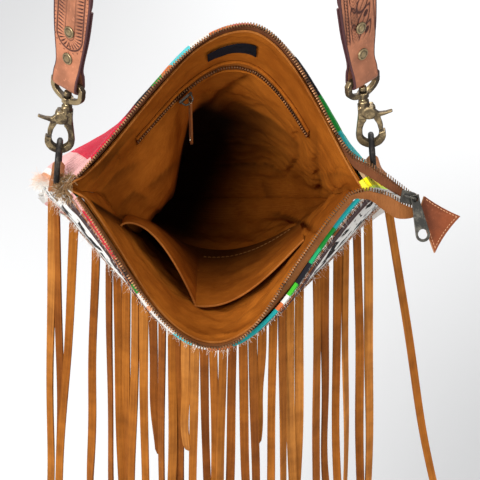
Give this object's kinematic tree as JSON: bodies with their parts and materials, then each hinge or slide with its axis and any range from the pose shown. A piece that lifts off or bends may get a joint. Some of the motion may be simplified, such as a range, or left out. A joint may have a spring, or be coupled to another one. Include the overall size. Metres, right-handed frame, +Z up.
{
  "type": "western fringed leather handbag",
  "caption": "Shoulder bag with an open zipped mouth, lining with pockets, suede fringe, snap hooks and a tooled strap.",
  "frame": {"origin": "hang point, under the top of the strap's arch", "axes": "+Z up along the hanging strap, +X to the zip's tail, -Y to the side the mouth opens to"},
  "size_m": [0.347, 0.2759, 0.9919],
  "materials": {
    "blanket": "woven wool blanket in bright stripes",
    "hair_band": "white and black hair band",
    "dark_trim": "dark brown smooth leather",
    "suede": "orange-brown suede",
    "cotton_lining": "tan cotton twill",
    "zip_tape": "brown woven tape",
    "tooled_leather": "hand-tooled reddish tan leather",
    "antique_brass": "antique brass, dark in the recesses",
    "gunmetal": "dark gunmetal with worn edges",
    "black_cloth": "black woven label, bare"
  },
  "bodies": {
    "root": {"back_panel": "blanket", "front_yoke": "blanket", "front_panel": "blanket", "front_band": "hair_band", "front_trim": "dark_trim", "fringe": "suede", "lining": "cotton_lining", "slip_pocket": "cotton_lining", "pocket_zip_tape": "zip_tape", "zip_tape_back": "zip_tape", "zip_tape_front": "zip_tape", "strap": "tooled_leather", "d_tab_left": "tooled_leather", "d_tab_right": "tooled_leather", "zip_end_tab": "tooled_leather", "pocket_zip_teeth": "antique_brass", "pocket_zip_slider": "antique_brass", "zip_teeth_back": "antique_brass", "zip_teeth_front": "antique_brass", "d_ring_left": "antique_brass", "d_ring_right": "antique_brass", "snap_hook_left": "antique_brass", "snap_hook_right": "antique_brass", "snap_eye_left": "antique_brass", "snap_eye_right": "antique_brass", "rivet_left_1": "antique_brass", "rivet_left_2": "antique_brass", "rivet_right_1": "antique_brass", "rivet_right_2": "antique_brass", "zip_slider": "gunmetal", "label": "black_cloth"},
    "lever_left": {"snap_lever_left": "antique_brass"},
    "lever_right": {"snap_lever_right": "antique_brass"},
    "main_pull": {"zip_pull": "gunmetal"},
    "inner_pull": {"pocket_zip_pull": "antique_brass"}
  },
  "joints": [
    {"name": "lever_left_press", "type": "hinge", "parent": "root", "child": "lever_left", "pos_m": [-0.10967, -0.04876, -0.44375], "axis": [0, -0.9918, 0.1277], "range_deg": [0, 25], "stiffness_Nm_per_rad": 0.06, "springref_deg": -20.05},
    {"name": "lever_right_press", "type": "hinge", "parent": "root", "child": "lever_right", "pos_m": [0.10522, -0.04215, -0.44465], "axis": [0, 0.9939, -0.1104], "range_deg": [0, 25], "stiffness_Nm_per_rad": 0.06, "springref_deg": -20.05},
    {"name": "main_pull_swing", "type": "hinge", "parent": "root", "child": "main_pull", "pos_m": [0.13813, -0.07926, -0.49471], "axis": [0.228, -0.6885, 0.6885], "range_deg": [-60, 60]},
    {"name": "inner_pull_swing", "type": "hinge", "parent": "root", "child": "inner_pull", "pos_m": [-0.0218, 0.01379, -0.48607], "axis": [1, 0, 0], "range_deg": [-45, 20]}
  ]
}
